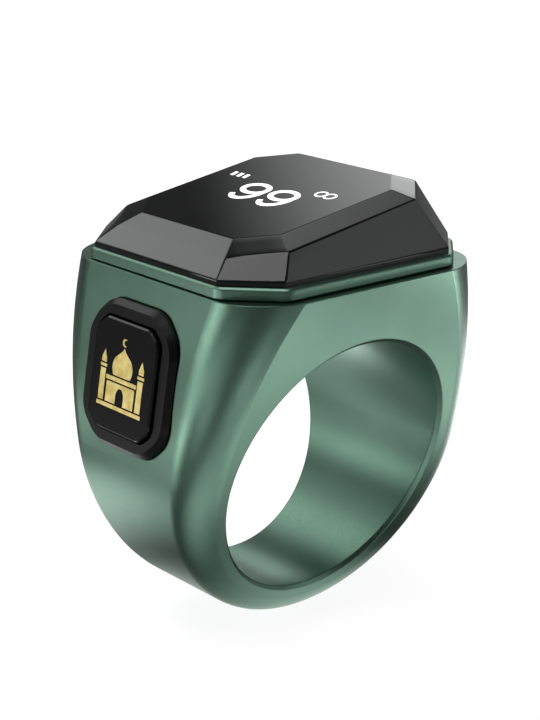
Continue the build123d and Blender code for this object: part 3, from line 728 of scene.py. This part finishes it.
class TASBIH_OT_lens(bpy.types.Operator):
    """Model the faceted lens with eased edges, its spigot and its pocket"""

    bl_idname = "tasbih.lens"
    bl_label = "Faceted Lens"

    def add_level(self, sizes, turn, origin):
        """One cut-corner outline of the lens, in edit mode."""
        width, depth, cut = sizes
        bpy.ops.mesh.primitive_plane_add(size=1.0)
        bpy.ops.transform.resize(value=(width, depth, 1.0), center_override=(0.0, 0.0, 0.0))
        bpy.ops.mesh.bevel(offset=cut, offset_type="OFFSET", segments=1, affect="VERTICES")
        if turn:
            bpy.ops.transform.rotate(value=turn, orient_axis="Y", center_override=(0.0, 0.0, 0.0))
        bpy.ops.transform.translate(value=origin)
        bpy.ops.mesh.delete(type="ONLY_FACE")

    def cut_facets(self, size):
        """The solid lens: four outlines, bridged, closed and eased along their edges."""
        foot = Vector((0.0, 0.0, size.foot))
        rise = Vector((0.0, 0.0, size.girdle_height))
        drop = Vector((0.0, 0.0, size.crown_drop))
        levels = (
            (size.girdle, 0.0, foot),
            (size.girdle, 0.0, foot + rise),
            (size.crown, TABLE_TURN, TABLE_ORIGIN - drop),
            (size.table, TABLE_TURN, TABLE_ORIGIN),
        )
        corners = 8
        deselect_all()
        bpy.ops.mesh.primitive_plane_add(size=1.0)
        lens = bpy.context.object
        lens.name = "faceted_lens"
        bpy.ops.object.mode_set(mode="EDIT")
        bpy.ops.mesh.delete(type="VERT")
        for level in levels:
            self.add_level(*level)
        bpy.ops.object.mode_set(mode="OBJECT")
        if len(lens.data.vertices) != corners * len(levels):
            raise RuntimeError("lens outlines didn't come out with eight corners each")
        bpy.ops.object.mode_set(mode="EDIT")
        for step in range(len(levels) - 1):
            pair = range(corners * step, corners * (step + 2))
            select_where(lens, lambda item, middle: all(end in pair for end in item.vertices), "EDGE")
            bpy.ops.mesh.bridge_edge_loops()
        for start in (0, corners * (len(levels) - 1)):
            rim = range(start, start + corners)
            select_where(lens, lambda item, middle: item.index in rim)
            bpy.ops.mesh.edge_face_add()
        bpy.ops.mesh.select_all(action="SELECT")
        bpy.ops.mesh.normals_make_consistent(inside=False)
        girdle_z = size.foot + size.girdle_height / 2
        select_where(lens, lambda item, middle: middle.z > girdle_z, "EDGE")
        bpy.ops.mesh.bevel(offset=size.edge, offset_type="OFFSET", segments=3, affect="EDGES")
        select_where(lens, lambda item, middle: middle.z > girdle_z, "EDGE")
        bpy.ops.mesh.subdivide(number_cuts=3, smoothness=0.0)
        bpy.ops.object.mode_set(mode="OBJECT")
        return lens

    def add_spigot(self, size):
        """Block with round corners that centres the lens in the plinth."""
        middle_z = size.foot - size.spigot[2] / 2 + size.edge
        deselect_all()
        bpy.ops.mesh.primitive_cube_add(size=1.0, location=(0.0, 0.0, middle_z))
        spigot = bpy.context.object
        spigot.scale = (size.spigot[0], size.spigot[1], size.spigot[2] + 2 * size.edge)
        bpy.ops.object.transform_apply(location=True, rotation=True, scale=True)
        bpy.ops.object.mode_set(mode="EDIT")
        select_where(spigot, lambda item, middle: abs(middle.z - middle_z) < size.edge, "EDGE")
        bpy.ops.mesh.bevel(offset=size.spigot_corner, segments=8, affect="EDGES")
        bpy.ops.object.mode_set(mode="OBJECT")
        return spigot

    def add_pocket(self, size):
        """Cutter for the display's pocket, which the table's cover closes."""
        ceiling = TABLE_ORIGIN - TABLE_FRAME.to_3x3().col[2] * size.pocket[2]
        deselect_all()
        bpy.ops.mesh.primitive_plane_add(size=1.0)
        pocket = bpy.context.object
        pocket.scale = (size.pocket[0], size.pocket[1], 1.0)
        bpy.ops.object.transform_apply(location=False, rotation=False, scale=True)
        bpy.ops.object.mode_set(mode="EDIT")
        bpy.ops.mesh.select_all(action="SELECT")
        bpy.ops.mesh.bevel(offset=size.pocket_corner, segments=4, affect="VERTICES")
        bpy.ops.transform.rotate(value=TABLE_TURN, orient_axis="Y", center_override=(0.0, 0.0, 0.0))
        bpy.ops.transform.translate(value=ceiling)
        bpy.ops.mesh.extrude_region_move(TRANSFORM_OT_translate={"value": (0.0, 0.0, -size.pocket_reach)})
        bpy.ops.mesh.select_all(action="SELECT")
        bpy.ops.mesh.normals_make_consistent(inside=False)
        bpy.ops.object.mode_set(mode="OBJECT")
        return pocket

    def execute(self, context):
        size = context.scene.tasbih_lens
        lens = self.cut_facets(size)
        spigot = self.add_spigot(size)
        pocket = self.add_pocket(size)
        unite(lens, spigot)
        apply_modifier(lens, "BOOLEAN", "pocket", operation="DIFFERENCE", object=pocket, solver="EXACT")
        bpy.data.objects.remove(pocket)
        clean_mesh(lens)
        bpy.ops.object.shade_smooth_by_angle(angle=math.radians(24))
        apply_modifier(lens, "WEIGHTED_NORMAL", "flat_facets", keep_sharp=True, weight=60)
        top = max(vertex.co.z for vertex in lens.data.vertices)
        if abs(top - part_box("lens")[1][2]) > TABLE_TOLERANCE:
            raise RuntimeError("lens table is tilted the wrong way")
        dress(lens, smoked_acrylic(), "ring")
        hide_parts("lens")
        return {"FINISHED"}


class TASBIH_OT_count(bpy.types.Operator):
    """Set the lit digits on the lens table"""

    bl_idname = "tasbih.count"
    bl_label = "Lit Digits"

    def execute(self, context):
        size = context.scene.tasbih_signs
        shapes = []
        for step in range(2):
            left = step * DIGIT_PITCH
            middle = (left + BOWL_MIDDLE[0], BOWL_MIDDLE[1])
            outer = arc(*middle, BOWL_RADIUS, 0, 350, 35, BOWL_SQUASH)
            inner = arc(*middle, HOLE_RADIUS, 0, 345, 23, HOLE_SQUASH)
            bowl = flat_shape("bowl", [outer, inner], size.depth)
            sweep = interpolate_bezier(*(Vector((left + x, y)) for x, y in TAIL_BENDS), 24)
            tail = flat_shape("tail", [stroke(sweep, TAIL_HALF_WIDTH)], size.depth)
            shapes.append(unite(bowl, tail))
        digits = join_pieces("lit_digits", shapes)
        settle(digits, TABLE_FRAME @ Matrix.Translation((*size.count_place, 0.0)))
        dress(digits, lit_pixels("lit_white_pixels", "#ffffff", 1.25), "ring")
        return {"FINISHED"}


class TASBIH_OT_marks(bpy.types.Operator):
    """Set the charge bars and the endless sign on the lens table"""

    bl_idname = "tasbih.marks"
    bl_label = "Lit Marks"

    def execute(self, context):
        size = context.scene.tasbih_signs
        glow = lit_pixels("lit_mark_pixels", "#fafafa", 1.1)
        bars = []
        for step in range(3):
            outline = [(x + step * BAR_PITCH, y) for x, y in BAR_CORNERS]
            bars.append(flat_shape("bar", [outline], size.depth))
        bars = join_pieces("charge_bars", bars)
        settle(bars, TABLE_FRAME @ Matrix.Translation((*size.bar_place, 0.0)))
        dress(bars, glow, "ring")
        rings = []
        for side in (-1, 1):
            deselect_all()
            bpy.ops.mesh.primitive_circle_add(vertices=40, radius=1.0, fill_type="NGON")
            ring = context.object
            ring.scale = (LOOP_RADIUS, LOOP_RADIUS, 1.0)
            ring.location = (side * LOOP_OFFSET, 0.0, -size.depth / 2)
            bpy.ops.object.transform_apply(location=True, rotation=False, scale=True)
            bpy.ops.object.mode_set(mode="EDIT")
            bpy.ops.mesh.select_mode(type="FACE")
            bpy.ops.mesh.select_all(action="SELECT")
            bpy.ops.mesh.inset(thickness=LOOP_LINE)
            bpy.ops.mesh.delete(type="FACE")
            bpy.ops.mesh.select_all(action="SELECT")
            bpy.ops.mesh.extrude_region_move(TRANSFORM_OT_translate={"value": (0.0, 0.0, size.depth)})
            bpy.ops.object.mode_set(mode="OBJECT")
            clean_mesh(ring)
            rings.append(ring)
        rings = unite(*rings)
        rings.name = "endless_sign"
        settle(rings, TABLE_FRAME @ Matrix.Translation((*size.loop_place, 0.0)))
        dress(rings, glow, "ring")
        return {"FINISHED"}


class TASBIH_OT_emblem(bpy.types.Operator):
    """Lay the gilt emblem on the button cap"""

    bl_idname = "tasbih.emblem"
    bl_label = "Gilt Emblem"

    def execute(self, context):
        size = context.scene.tasbih_signs
        # Hall with a tall pointed gate, whose two sides meet at its tip
        hall = box_outline(*HALL)
        lean = GATE_RADIUS - GATE_HALF_WIDTH
        left_side = [(-GATE_HALF_WIDTH, HALL[1]), *arc(lean, GATE_SPRING, GATE_RADIUS, 180, 128, 6)]
        right_side = [*arc(-lean, GATE_SPRING, GATE_RADIUS, 52, 0, 6), (GATE_HALF_WIDTH, HALL[1])]
        # Main dome, drawn in to a point, and the crescent over it
        swell = arc(0.0, DOME_MIDDLE, DOME_RADIUS, -34, 42, 8, DOME_SQUASH)
        dome_side = [DOME_FOOT, *swell, *DOME_SHOULDER]
        moon = arc(0.0, MOON_MIDDLE, MOON_RADIUS, 50, 310, 20)
        moon += arc(MOON_CUT_OFFSET, MOON_MIDDLE, MOON_CUT_RADIUS, 290, 70, 18)
        outlines = {
            "hall": [hall[0], *left_side, *right_side, *hall[1:]],
            "step": box_outline(*STEP),
            "cornice": box_outline(*CORNICE),
            "dome": [*dome_side, (0.0, DOME_TIP), *((-x, y) for x, y in reversed(dome_side))],
            "crescent": moon,
        }
        # Stout towers, each with a gallery and a pointed hood
        for side, middle in (("left", -TOWER_MIDDLE), ("right", TOWER_MIDDLE)):
            eaves = box_outline(*EAVES, middle)
            outlines[f"{side}_tower"] = box_outline(*TOWER, middle)
            outlines[f"{side}_gallery"] = box_outline(*GALLERY, middle)
            outlines[f"{side}_hood"] = [*eaves[:3], (middle, HOOD_TIP), eaves[3]]
        shapes = [flat_shape(name, [outline], size.depth) for name, outline in outlines.items()]
        emblem = join_pieces("gilt_emblem", shapes)
        apply_modifier(
            emblem, "BEVEL", "stamped_edge", width=STAMPED_EDGE, segments=2, limit_method="ANGLE"
        )
        settle(emblem, FLANK_FRAME @ Matrix.Translation((0.0, size.emblem_foot, size.cap_proud)))
        dress(emblem, gilt_foil(), "button")
        return {"FINISHED"}


class TASBIH_OT_button(bpy.types.Operator):
    """Give the button its black plastics and its seal"""

    bl_idname = "tasbih.button"
    bl_label = "Button Finish"

    def execute(self, context):
        # Glass-filled nylon: satin black with a soft spark-eroded skin
        nylon = moulded_plastic(
            "black_nylon_surround",
            ("#070606", "#0a0909"),
            rough=0.34,
            spark_mm=0.1,
            relief_mm=0.0006,
            ior=1.5,
            gloss=0.2,
        )
        coat(nylon, "button_bezel")
        # Polycarbonate: smoother and a shade lighter, so its edges catch the light
        polycarbonate = moulded_plastic(
            "black_polycarbonate_cap",
            ("#0a090b", "#0d0c0e"),
            rough=0.2,
            spark_mm=0.14,
            relief_mm=0.0003,
            ior=1.5,
            gloss=0.25,
        )
        coat(polycarbonate, "button_cap")
        # Silicone: dull and slightly dusty
        silicone = moulded_plastic(
            "grey_silicone", ("#3a3c3d", "#46494a"), rough=0.62, spark_mm=0.12, relief_mm=0.004, ior=1.41
        )
        coat(silicone, "button_seal", "board_gasket")
        return {"FINISHED"}


class TASBIH_OT_display_parts(bpy.types.Operator):
    """Give the display stack its films, glass and carrier"""

    bl_idname = "tasbih.display_parts"
    bl_label = "Display Parts"

    def execute(self, context):
        # Acrylic foam tape: matt black with open cells
        tape = moulded_plastic(
            "acrylic_foam_tape",
            ("#1d1d1e", "#29292b"),
            rough=0.75,
            spark_mm=0.08,
            relief_mm=0.01,
            ior=1.48,
        )
        coat(tape, "lens_adhesive")
        # Cured clear bond: wet-looking and faintly milky
        bond = moulded_plastic(
            "optical_bond", ("#c9cdd2", "#d6dade"), rough=0.12, spark_mm=0.9, relief_mm=0.0005, ior=1.47
        )
        coat(bond, "display_bond")
        # Display glass: black and mirror smooth
        glass = moulded_plastic(
            "display_glass", ("#07080a", "#0c0d10"), rough=0.1, spark_mm=0.6, relief_mm=0.0003, ior=1.52
        )
        coat(glass, "display_panel")
        # ABS: satin black carrier with mould grain
        carrier = moulded_plastic(
            "black_abs", ("#1b1b1c", "#242426"), rough=0.5, spark_mm=0.16, relief_mm=0.004, ior=1.53
        )
        coat(carrier, "display_carrier")
        # Polyimide: amber film with a slick skin
        film = moulded_plastic(
            "amber_polyimide", ("#a8641c", "#bd7726"), rough=0.3, spark_mm=0.25, relief_mm=0.001, ior=1.7
        )
        coat(film, "display_ribbon", "switch_flex")
        return {"FINISHED"}


class TASBIH_OT_circuit(bpy.types.Operator):
    """Give the circuit its board, chips and contacts"""

    bl_idname = "tasbih.circuit"
    bl_label = "Circuit Parts"

    def execute(self, context):
        # Solder-masked epoxy glass: dark green, clouded by the cloth under it
        board = moulded_plastic(
            "solder_masked_board",
            ("#0d3a24", "#145034"),
            rough=0.35,
            spark_mm=0.3,
            relief_mm=0.003,
            ior=1.55,
        )
        coat(board, "main_board")
        # Epoxy moulding compound: charcoal and finely pitted
        epoxy = moulded_plastic(
            "chip_epoxy", ("#202022", "#2b2b2d"), rough=0.6, spark_mm=0.09, relief_mm=0.004, ior=1.55
        )
        coat(epoxy, "controller_chip")
        # Fired ceramic chips: warm tan and chalky
        ceramic = moulded_plastic(
            "fired_ceramic", ("#8d6f4c", "#a98a63"), rough=0.55, spark_mm=0.12, relief_mm=0.003, ior=1.7
        )
        coat(ceramic, "board_components")
        # Liquid-crystal polymer: ivory with flow marks
        polymer = moulded_plastic(
            "ivory_polymer", ("#cfc6ae", "#ded6c2"), rough=0.48, spark_mm=0.2, relief_mm=0.003, ior=1.6
        )
        coat(polymer, "flex_connector", "switch_base")
        # Acetal: white, waxy and slippery
        acetal = moulded_plastic(
            "white_acetal", ("#d9dadb", "#e6e7e8"), rough=0.36, spark_mm=0.25, relief_mm=0.001, ior=1.48
        )
        coat(acetal, "switch_plunger")
        # Plain nylon: black bushes, duller than the button's surround
        nylon = moulded_plastic(
            "black_nylon_bush",
            ("#161617", "#1f1f20"),
            rough=0.42,
            spark_mm=0.1,
            relief_mm=0.002,
            ior=1.53,
        )
        coat(nylon, "contact_bushes")
        # Gold-plated brass: warm and bright, with fine turning marks
        brass = worked_metal(
            "gold_plated_brass", ("#d9ad55", "#efcb7c"), rough=0.22, mark_mm=0.06, relief_mm=0.001
        )
        coat(brass, "charging_pins")
        # Stainless spring steel: grey, with the lines of its rolling
        steel = worked_metal(
            "stainless_spring_steel",
            ("#9c9ea0", "#b9bbbd"),
            rough=0.26,
            mark_mm=0.05,
            relief_mm=0.001,
            stretch=(1.0, 12.0, 1.0),
        )
        coat(steel, "switch_cover", "switch_dome")
        return {"FINISHED"}


class TASBIH_OT_power(bpy.types.Operator):
    """Give the cell, magnets and vibration motor their finishes"""

    bl_idname = "tasbih.power"
    bl_label = "Cell and Motor"

    def execute(self, context):
        # Laminated aluminium foil: soft silver with fine creases
        foil = worked_metal(
            "laminated_foil", ("#aeb1b4", "#cfd2d4"), rough=0.36, mark_mm=0.9, relief_mm=0.02
        )
        coat(foil, "battery_cell")
        # Polyurethane foam: grey and porous
        foam = moulded_plastic(
            "grey_foam", ("#505255", "#65686b"), rough=0.85, spark_mm=0.14, relief_mm=0.03, ior=1.45
        )
        coat(foam, "battery_pad")
        # Nickel strip: warm grey with rolling lines
        nickel = worked_metal(
            "nickel_strip",
            ("#a9a59a", "#c4c0b4"),
            rough=0.3,
            mark_mm=0.06,
            relief_mm=0.001,
            stretch=(1.0, 10.0, 1.0),
        )
        coat(nickel, "battery_tabs")
        # Nickel plate: bright and nearly mirror smooth
        plate = worked_metal(
            "nickel_plated_magnet", ("#b9b7b1", "#cfcdc7"), rough=0.16, mark_mm=0.4, relief_mm=0.0005
        )
        coat(plate, "charging_magnets")
        # Drawn steel: satin grey with lines along the draw
        steel = worked_metal(
            "drawn_steel",
            ("#8f9193", "#adafb1"),
            rough=0.28,
            mark_mm=0.08,
            relief_mm=0.001,
            stretch=(1.0, 1.0, 8.0),
        )
        coat(steel, "motor_can", "motor_base", "motor_shaft")
        # Sintered tungsten: dark and grainy
        tungsten = worked_metal(
            "sintered_tungsten", ("#55575a", "#6d6f72"), rough=0.48, mark_mm=0.07, relief_mm=0.004
        )
        coat(tungsten, "motor_rotor")
        # Silicone sleeve: matt red
        sleeve = moulded_plastic(
            "red_silicone_sleeve",
            ("#8c1c1a", "#a52624"),
            rough=0.55,
            spark_mm=0.1,
            relief_mm=0.002,
            ior=1.41,
        )
        coat(sleeve, "motor_leads")
        return {"FINISHED"}


class TASBIH_OT_studio(bpy.types.Operator):
    """Set the floor, the soft lights, the surroundings and the camera"""

    bl_idname = "tasbih.studio"
    bl_label = "Studio"

    def lay_floor(self, look):
        """Round white floor under the ring."""
        deselect_all()
        bpy.ops.mesh.primitive_circle_add(
            vertices=96,
            radius=look.floor_size,
            fill_type="NGON",
            location=(0.0, 0.0, CAD_BOX[0][2] - FLOOR_GAP),
        )
        floor = bpy.context.object
        floor.name = "pale_floor"
        bpy.ops.object.transform_apply(location=True, rotation=True, scale=True)
        bpy.ops.object.mode_set(mode="EDIT")
        bpy.ops.mesh.select_all(action="SELECT")
        bpy.ops.mesh.extrude_region_move(TRANSFORM_OT_translate={"value": (0.0, 0.0, -FLOOR_THICKNESS)})
        bpy.ops.mesh.select_all(action="SELECT")
        bpy.ops.mesh.normals_make_consistent(inside=False)
        bpy.ops.object.mode_set(mode="OBJECT")
        floor.data.materials.append(pale_sweep())

    def add_softbox(self, name, toward, distance, width, height, radiance):
        """One rectangular soft light, aimed at the ring."""
        toward = Vector(toward).normalized()
        bpy.ops.object.light_add(type="AREA", location=toward * distance)
        lamp = bpy.context.object
        lamp.name = name
        lamp.rotation_euler = toward.to_track_quat("Z", "Y").to_euler()
        lamp.data.shape = "RECTANGLE"
        lamp.data.size = width
        lamp.data.size_y = height
        lamp.data.energy = radiance * math.pi * width * height

    def light_room(self, scene, level):
        """Surroundings: white to the camera, to the reflections a dim room with broad soft screens."""
        world = bpy.data.worlds.new("studio_room")
        scene.world = world
        world.use_nodes = True
        tree = world.node_tree
        tree.nodes.clear()
        way = add_node(tree, "ShaderNodeTexCoord").outputs["Generated"]
        # The screens are added up, and the first one to the room's own level
        lit = {}
        for azimuth, elevation, full, faded, strength in SCREENS:
            turn, tilt = math.radians(azimuth), math.radians(elevation)
            toward = (math.cos(turn) * math.cos(tilt), math.sin(turn) * math.cos(tilt), math.sin(tilt))
            facing = add_node(
                tree, "ShaderNodeVectorMath", {"operation": "DOT_PRODUCT"}, {1: toward}, {0: way}
            )
            edges = {"From Min": math.cos(math.radians(faded)), "From Max": math.cos(math.radians(full))}
            screen = add_node(
                tree,
                "ShaderNodeMapRange",
                {"interpolation_type": "SMOOTHSTEP"},
                {**edges, "To Min": 0.0, "To Max": strength},
                {"Value": facing.outputs["Value"]},
            )
            feeds = {**lit, 1: screen.outputs["Result"]}
            total = add_node(tree, "ShaderNodeMath", {"operation": "ADD"}, {0: level}, feeds)
            lit = {0: total.outputs["Value"]}
        dim = add_node(
            tree, "ShaderNodeBackground", values={"Color": linear("#f6f8f7")}, links={"Strength": lit[0]}
        )
        white = add_node(
            tree, "ShaderNodeBackground", values={"Color": linear("#ffffff"), "Strength": 1.0}
        )
        sight = add_node(tree, "ShaderNodeLightPath").outputs["Is Camera Ray"]
        both = add_node(
            tree,
            "ShaderNodeMixShader",
            links={0: sight, 1: dim.outputs["Background"], 2: white.outputs["Background"]},
        )
        add_node(tree, "ShaderNodeOutputWorld", links={"Surface": both.outputs["Shader"]})
        scene.view_settings.view_transform = "Standard"

    def set_camera(self, scene, look):
        """Camera at the viewing angle of the photograph."""
        back = Vector(
            (
                math.sin(look.azimuth) * math.cos(look.elevation),
                -math.cos(look.azimuth) * math.cos(look.elevation),
                math.sin(look.elevation),
            )
        )
        level_right = Vector((math.cos(look.azimuth), math.sin(look.azimuth), 0.0))
        level_up = back.cross(level_right)
        right = math.cos(look.roll) * level_right + math.sin(look.roll) * level_up
        up = math.cos(look.roll) * level_up - math.sin(look.roll) * level_right
        bpy.ops.object.camera_add()
        camera = bpy.context.object
        camera.name = "photo_camera"
        camera.matrix_world = (
            Matrix.Translation(right * look.aim[0] + up * look.aim[1] + back * look.distance)
            @ Matrix((right, up, back)).transposed().to_4x4()
        )
        camera.data.lens = look.focal_length
        camera.data.sensor_width = 36.0
        camera.data.clip_start = 5.0 * MM
        scene.camera = camera

    def execute(self, context):
        look = context.scene.tasbih_studio
        self.lay_floor(look)
        self.add_softbox(
            "top_softbox",
            toward=(-0.22, -0.04, 0.97),
            distance=0.4,
            width=0.26,
            height=0.24,
            radiance=2.66,
        )
        self.light_room(context.scene, look.room)
        self.set_camera(context.scene, look)
        return {"FINISHED"}


class TASBIH_PT_panel(bpy.types.Panel):
    """Lists the steps that dress the ring"""

    bl_idname = "TASBIH_PT_panel"
    bl_label = "Tasbih Ring"
    bl_space_type = "VIEW_3D"
    bl_region_type = "UI"
    bl_category = "Tasbih Ring"

    def draw(self, context):
        for step in STEPS:
            self.layout.operator(step.bl_idname)
        for name in SETTINGS:
            settings = getattr(context.scene, name)
            box = self.layout.box()
            for key in settings.__annotations__:
                box.prop(settings, key)


STEPS = (
    TASBIH_OT_metal,
    TASBIH_OT_lens,
    TASBIH_OT_count,
    TASBIH_OT_marks,
    TASBIH_OT_button,
    TASBIH_OT_emblem,
    TASBIH_OT_display_parts,
    TASBIH_OT_circuit,
    TASBIH_OT_power,
    TASBIH_OT_studio,
)
SETTINGS = {
    "tasbih_finish": TasbihFinish,
    "tasbih_lens": TasbihLens,
    "tasbih_signs": TasbihSigns,
    "tasbih_studio": TasbihStudio,
}
CLASSES = (*SETTINGS.values(), *STEPS, TASBIH_PT_panel)


def register():
    """Adds the settings, the steps and the panel."""
    for entry in CLASSES:
        bpy.utils.register_class(entry)
    for name, group in SETTINGS.items():
        setattr(bpy.types.Scene, name, PointerProperty(type=group))


def unregister():
    """Takes them out again."""
    for name in SETTINGS:
        delattr(bpy.types.Scene, name)
    for entry in reversed(CLASSES):
        bpy.utils.unregister_class(entry)


def main():
    """Dresses the ring step by step."""
    register()
    bpy.ops.tasbih.metal()
    bpy.ops.tasbih.lens()
    bpy.ops.tasbih.count()
    bpy.ops.tasbih.marks()
    bpy.ops.tasbih.button()
    bpy.ops.tasbih.emblem()
    bpy.ops.tasbih.display_parts()
    bpy.ops.tasbih.circuit()
    bpy.ops.tasbih.power()
    bpy.ops.tasbih.studio()


if __name__ == "__main__":
    main()
